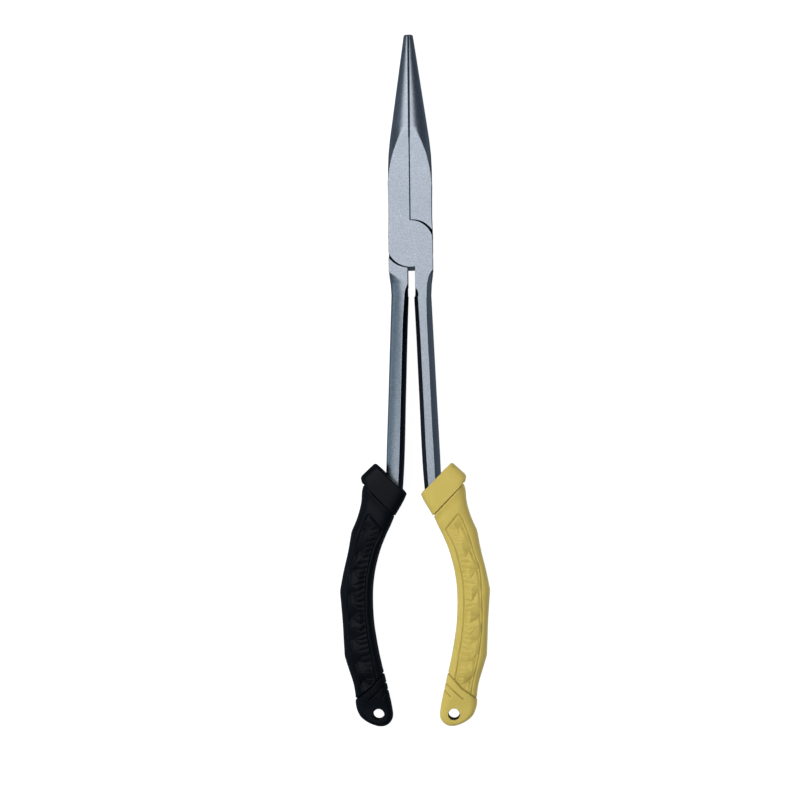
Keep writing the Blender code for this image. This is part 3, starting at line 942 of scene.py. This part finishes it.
def cut_lanyard_hole(skin):
    """Cuts a bore with rounded rims through the lobe, and a wider room for the core inside it."""
    rim_radius = LANYARD_RADIUS + LANYARD_FLARE
    profile = [(rim_radius + PAST_LOBE_FLARE, -PAST_LOBE_FACE), (rim_radius, -LOBE_FACE)]
    for step in range(1, LANYARD_FLARE_STEPS):
        angle = math.pi / 2 * step / LANYARD_FLARE_STEPS
        radius = LANYARD_RADIUS + LANYARD_FLARE * (1 - math.sin(angle))
        profile.append((radius, -LOBE_FACE + LANYARD_FLARE * (1 - math.cos(angle))))
    profile.append((LANYARD_RADIUS, -LOBE_FACE + LANYARD_FLARE))
    profile += [(radius, -z) for radius, z in reversed(profile)]
    boolean(skin, "DIFFERENCE", turned("hole", profile, LANYARD_HOLE, LANYARD_SEGMENTS))
    room_radius = LANYARD_RADIUS + CORE_ROOM_MARGIN
    room = [(room_radius, -CORE_ROOM), (room_radius, CORE_ROOM)]
    boolean(skin, "DIFFERENCE", turned("room", room, LANYARD_HOLE, LANYARD_SEGMENTS))


def grip_skin(name):
    """The soft grip: a square collar, a rounded body with a folded panel on each face, and a lanyard lobe."""
    grid = grip_grid()
    normal = grid_normals(grid)
    depth, shade = grip_relief(grid[:, :, 0], grid[:, :, 1], normal)
    skin = grip_mesh(name, grid - normal * depth[:, :, None], shade)
    cut_lanyard_hole(skin)
    skin.data.shade_smooth()
    skin.data.set_sharp_from_angle(angle=math.radians(50))
    return skin


# -------------------- materials

# Sockets of a colour Mix node
MIX_FACTOR, MIX_A, MIX_B = 0, 6, 7
MIX_RESULT = 2


class Nodes:
    """Builds one material's nodes."""

    def __init__(self, name):
        self.material = bpy.data.materials.new(name)
        self.material.use_nodes = True
        self.tree = self.material.node_tree
        self.shader = self.tree.nodes["Principled BSDF"]
        self.place = self.tree.nodes.new("ShaderNodeTexCoord").outputs["Object"]

    def add(self, kind, inputs=None, **settings):
        """A node with its settings, its inputs linked or set to values."""
        node = self.tree.nodes.new(kind)
        for key, value in settings.items():
            setattr(node, key, value)
        for key, value in (inputs or {}).items():
            if isinstance(value, bpy.types.NodeSocket):
                self.tree.links.new(value, node.inputs[key])
            else:
                node.inputs[key].default_value = value
        return node

    def noise(self, size_mm, detail=3.0, roughness=0.6, stretch=None):
        """Noise whose spots are about the given size, stretched along an axis where asked."""
        place = self.place
        if stretch is not None:
            mapped = self.add("ShaderNodeMapping", {"Vector": place, "Scale": stretch})
            place = mapped.outputs["Vector"]
        node = self.add(
            "ShaderNodeTexNoise",
            {"Vector": place, "Scale": 1000.0 / size_mm, "Detail": detail, "Roughness": roughness},
        )
        return node.outputs["Fac"]

    def ramp(self, value, stops):
        """A colour for each value, between (value, colour) stops."""
        node = self.add("ShaderNodeValToRGB", {"Fac": value})
        while len(node.color_ramp.elements) < len(stops):
            node.color_ramp.elements.new(0.5)
        for element, (position, colour) in zip(node.color_ramp.elements, stops):
            element.position = position
            element.color = (*colour, 1.0)
        return node.outputs["Color"]

    def scale(self, value, low, high, from_low, from_high):
        """Maps a value from one range to another."""
        node = self.add(
            "ShaderNodeMapRange",
            {"Value": value, "From Min": from_low, "From Max": from_high, "To Min": low, "To Max": high},
        )
        return node.outputs["Result"]

    def mix(self, factor, a, b):
        """A colour between two, each a socket or a plain colour."""
        node = self.add("ShaderNodeMix", data_type="RGBA", blend_type="MIX")
        self.tree.links.new(factor, node.inputs[MIX_FACTOR])
        for key, value in ((MIX_A, a), (MIX_B, b)):
            if isinstance(value, bpy.types.NodeSocket):
                self.tree.links.new(value, node.inputs[key])
            else:
                node.inputs[key].default_value = (*value, 1.0)
        return node.outputs[MIX_RESULT]

    def bump(self, height, distance_mm, strength, under=None):
        """Bumps of the given height, on top of other bumps where asked."""
        inputs = {"Height": height, "Distance": distance_mm * MM, "Strength": strength}
        if under is not None:
            inputs["Normal"] = under
        return self.add("ShaderNodeBump", inputs).outputs["Normal"]

    def set(self, **sockets):
        """Links or sets the shader's sockets by name."""
        for key, value in sockets.items():
            socket = self.shader.inputs[key.replace("_", " ")]
            if isinstance(value, bpy.types.NodeSocket):
                self.tree.links.new(value, socket)
            else:
                socket.default_value = value


def steel(name, dark, body, pale, rough):
    """Satin blasted steel: fine speckle over soft clouding, with faint grinding lines."""
    n = Nodes(name)
    speckle = n.noise(0.55, 3.0, 0.75)
    cloud = n.noise(11.0, 3.0, 0.55)
    colour = n.ramp(speckle, ((0.32, dark), (0.50, body), (0.70, pale)))
    clouded = n.mix(n.scale(cloud, 0.0, 0.22, 0.35, 0.7), colour, dark)
    grain = n.bump(n.noise(0.22, 2.0, 0.6), 0.012, 0.5)
    lines = n.noise(0.45, 2.0, 0.6, stretch=(1.0, 0.04, 1.0))
    lined = n.bump(lines, 0.008, 0.35, grain)
    roughness = n.scale(speckle, rough, rough + 0.09, 0.3, 0.7)
    n.set(Base_Color=clouded, Metallic=1.0, Roughness=roughness, Normal=lined)
    return n.material


def rivet_steel(name):
    """Bright turned steel with fine rings about the pivot axis."""
    n = Nodes(name)
    ring = n.add(
        "ShaderNodeTexWave",
        {"Vector": n.place, "Scale": 900.0, "Distortion": 1.2, "Detail": 2.0, "Detail Scale": 3.0},
        wave_type="RINGS", rings_direction="Z",
    ).outputs["Fac"]
    spots = n.noise(0.6, 3.0, 0.6)
    colour = n.mix(n.scale(spots, 0.0, 1.0, 0.3, 0.7), (0.36, 0.38, 0.41), (0.47, 0.49, 0.52))
    rings = n.bump(ring, 0.015, 0.5)
    n.set(Base_Color=colour, Metallic=1.0, Roughness=n.scale(ring, 0.27, 0.38, 0.0, 1.0), Normal=rings)
    return n.material


def rubber(name, body, deep, pale, roughness, sheen, specular):
    """Matte moulded rubber: fine grain, soft clouding and painted shade, a darker colour, in the grooves,
    valleys and creases.
    """
    n = Nodes(name)
    cloud = n.noise(9.0, 4.0, 0.55)
    grain = n.noise(0.28, 3.0, 0.65)
    colour = n.mix(n.scale(cloud, 0.0, 1.0, 0.3, 0.7), body, pale)
    grained = n.mix(n.scale(grain, 0.0, 0.22, 0.45, 0.75), colour, deep)
    # The groove attribute carries painted shade: the colour darkens in the channels, the folds' valleys and
    # the creases
    groove = n.add("ShaderNodeAttribute", attribute_name="groove").outputs["Fac"]
    shaded_in_hollows = n.mix(n.scale(groove, 0.0, 0.62, 0.15, 0.9), grained, deep)
    fine = n.bump(grain, 0.03, 0.5)
    soft = n.bump(n.noise(2.2, 2.0, 0.5), 0.05, 0.35, fine)
    rough = n.scale(cloud, roughness - 0.05, roughness + 0.06, 0.3, 0.7)
    n.set(
        Base_Color=shaded_in_hollows, Roughness=rough, Normal=soft, Sheen_Weight=sheen, Sheen_Roughness=0.45,
        Specular_IOR_Level=specular,
    )
    return n.material


def core_plastic(name):
    """Hard near-black plastic with a faint moulded texture."""
    n = Nodes(name)
    grain = n.noise(0.4, 3.0, 0.6)
    colour = n.mix(n.scale(grain, 0.0, 1.0, 0.3, 0.7), (0.010, 0.009, 0.008), (0.022, 0.019, 0.016))
    rough = n.scale(grain, 0.48, 0.62, 0.0, 1.0)
    n.set(Base_Color=colour, Roughness=rough, Normal=n.bump(grain, 0.02, 0.5), Specular_IOR_Level=0.06)
    return n.material


def floor_material(name):
    """A matte, evenly self-lit white, so that the floor reads as a plain backdrop."""
    n = Nodes(name)
    cloud = n.noise(120.0, 2.0, 0.5)
    colour = n.mix(n.scale(cloud, 0.0, 1.0, 0.3, 0.7), (0.14, 0.14, 0.14), (0.16, 0.16, 0.16))
    n.set(
        Base_Color=colour, Roughness=0.9, Emission_Color=(1.0, 1.0, 1.0, 1.0), Emission_Strength=0.97,
        Specular_IOR_Level=0.1,
    )
    return n.material


def dress(thing, material):
    """Gives the whole thing one material."""
    thing.data.materials.clear()
    thing.data.materials.append(material)


# -------------------- stage

# How far down (-1) or up (1) a direction looks, and the surroundings' colour there
WORLD_BANDS = (
    (-1.0, (0.0, 0.0, 0.0)), (-0.9, (0.04, 0.05, 0.06)), (-0.7, (0.33, 0.42, 0.52)),
    (-0.3, (0.35, 0.44, 0.54)), (0.0, (0.26, 0.33, 0.41)), (0.4, (0.20, 0.25, 0.32)),
    (1.0, (0.12, 0.15, 0.20)),
)
FLOOR_REACH = 12.0
FLOOR_GAP = 0.0004
# The camera looks down at a point on the tool, leaning to the tool's right, in degrees
CAMERA_AIM = (-0.00514, -0.06306)
CAMERA_DISTANCE = 0.78
CAMERA_LEAN = 2.2
CAMERA_ROLL = -0.7
CAMERA_LENS = 86.75
CAMERA_SENSOR = 36.0
LIGHT_AIM = (0.0, -0.055, MIDDLE_Z)
WHITE = (1.0, 1.0, 1.0)
# Studio lights: name, place, width and height, watts, colour, lights matte surfaces, shows in reflections
LIGHTS = (
    ("softbox", (-0.12, 0.27, 1.15), (1.25, 1.2), 17.7, WHITE, False, True),
    ("key", (-0.62, 0.18, 0.98), (0.40, 0.40), 13.0, WHITE, True, False),
    ("fill", (0.95, -0.15, 0.50), (0.8, 0.8), 3.0, WHITE, True, False),
    ("side_panel", (-1.05, -0.28, 0.70), (1.5, 1.5), 5.0, (0.68, 0.89, 1.0), True, True),
    ("arm_panel", (-0.82, -0.36, 1.0), (0.55, 0.8), 0.7, (0.75, 0.92, 1.0), False, True),
    ("low_panel", (-1.0, -0.04, 0.2), (0.32, 0.5), 0.45, (0.70, 0.88, 1.0), False, True),
    ("jaw_strip", (-0.12, 0.62, 1.12), (0.9, 0.5), 2.2, WHITE, False, True),
)


def add_floor():
    """A wide flat floor just below the tool, kept out of the steel's reflections."""
    bm = bmesh.new()
    near, far = -FLOOR_REACH, FLOOR_REACH
    corners = ((near, near), (far, near), (far, far), (near, far))
    level = CAD_LOW.z - FLOOR_GAP
    bm.faces.new([bm.verts.new((x, y, level)) for x, y in corners])
    floor = mesh_object("floor", bm)
    floor.visible_glossy = False
    if floor.data.polygons[0].normal.z < 0:
        floor.data.flip_normals()
    dress(floor, floor_material("floor_white"))


def add_light(name, place, size, power, colour, matte, glossy):
    """A rectangular lamp that faces the tool's middle."""
    light = bpy.data.lights.new(name, "AREA")
    light.shape = "RECTANGLE"
    light.size, light.size_y = size
    light.energy = power
    light.color = colour
    thing = bpy.data.objects.new(name, light)
    thing.location = place
    thing.rotation_mode = "QUATERNION"
    thing.rotation_quaternion = (Vector(LIGHT_AIM) - Vector(place)).to_track_quat("-Z", "Y")
    thing.visible_diffuse = matte
    thing.visible_glossy = glossy
    bpy.context.scene.collection.objects.link(thing)


def add_world():
    """Bluish surroundings: black straight below, brightest at the horizon and dimmer above."""
    world = bpy.data.worlds.new("studio")
    world.use_nodes = True
    tree = world.node_tree
    direction = tree.nodes.new("ShaderNodeTexCoord").outputs["Generated"]
    split = tree.nodes.new("ShaderNodeSeparateXYZ")
    tree.links.new(direction, split.inputs[0])
    height = tree.nodes.new("ShaderNodeMapRange")
    height.inputs["From Min"].default_value = -1.0
    tree.links.new(split.outputs["Z"], height.inputs["Value"])
    ramp = tree.nodes.new("ShaderNodeValToRGB")
    bands = ramp.color_ramp.elements
    while len(bands) < len(WORLD_BANDS):
        bands.new(0.5)
    for band, (level, colour) in zip(bands, WORLD_BANDS):
        band.position = (level + 1) / 2
        band.color = (*colour, 1.0)
    tree.links.new(height.outputs["Result"], ramp.inputs["Fac"])
    tree.links.new(ramp.outputs["Color"], tree.nodes["Background"].inputs["Color"])
    bpy.context.scene.world = world


def add_camera():
    """The camera above the tool, nearly straight down."""
    camera = bpy.data.cameras.new("camera")
    camera.sensor_width = CAMERA_SENSOR
    camera.lens = CAMERA_LENS
    camera.clip_start = 0.05
    thing = bpy.data.objects.new("camera", camera)
    turn = Euler((0.0, math.radians(CAMERA_LEAN), math.radians(CAMERA_ROLL)))
    aim = Vector((CAMERA_AIM[0], CAMERA_AIM[1], MIDDLE_Z))
    thing.location = aim + turn.to_matrix() @ Vector((0.0, 0.0, CAMERA_DISTANCE))
    thing.rotation_euler = turn
    bpy.context.scene.collection.objects.link(thing)
    bpy.context.scene.camera = thing


# -------------------- assembly

satin = steel("satin_steel", (0.092, 0.104, 0.121), (0.131, 0.145, 0.164), (0.176, 0.192, 0.213), 0.28)
broken = steel("broken_edge_steel", (0.150, 0.172, 0.200), (0.190, 0.214, 0.244), (0.240, 0.265, 0.296), 0.24)
# Near-black steel as painted shade for the arms' inner sides, by the gap between them
scale = steel("painted_shade_steel", (0.008, 0.009, 0.014), (0.014, 0.016, 0.024), (0.030, 0.034, 0.046), 0.42)

front = front_lever((satin, broken, scale))
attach(front, "front_half")
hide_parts("front_lever")

rear = rear_lever((satin, broken, scale))
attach(rear, "rear_half")
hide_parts("rear_lever")

pin = pivot_rivet()
dress(pin, rivet_steel("turned_steel"))
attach(pin, "front_half")
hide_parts("pivot_rivet")

yellow = grip_skin("yellow_grip_skin")
black = bpy.data.objects.new("black_grip_skin", yellow.data.copy())
bpy.context.scene.collection.objects.link(black)
place(yellow, False)
place(black, True)
# The collar's yellow stays out of the reflections in the arm beside it
yellow.visible_glossy = False
sand_rubber = rubber(
    "sand_rubber", body=(0.494, 0.364, 0.068), deep=(0.21, 0.147, 0.012), pale=(0.526, 0.392, 0.084),
    roughness=0.66, sheen=0.10, specular=0.3,
)
black_rubber = rubber(
    "black_rubber_matte", body=(0.0010, 0.0015, 0.0026), deep=(0.0004, 0.0005, 0.0007),
    pale=(0.0018, 0.0025, 0.0041), roughness=0.43, sheen=0.0, specular=0.055,
)
dress(yellow, sand_rubber)
dress(black, black_rubber)
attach(yellow, "front_half")
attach(black, "rear_half")
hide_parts("yellow_grip")
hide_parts("black_grip")

core = core_plastic("core_plastic_dark")
for name in ("yellow_grip_core", "black_grip_core"):
    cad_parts[name].material_slots[0].material = core

add_floor()
for light in LIGHTS:
    add_light(*light)
add_world()
add_camera()
bpy.context.scene.view_settings.view_transform = "Standard"
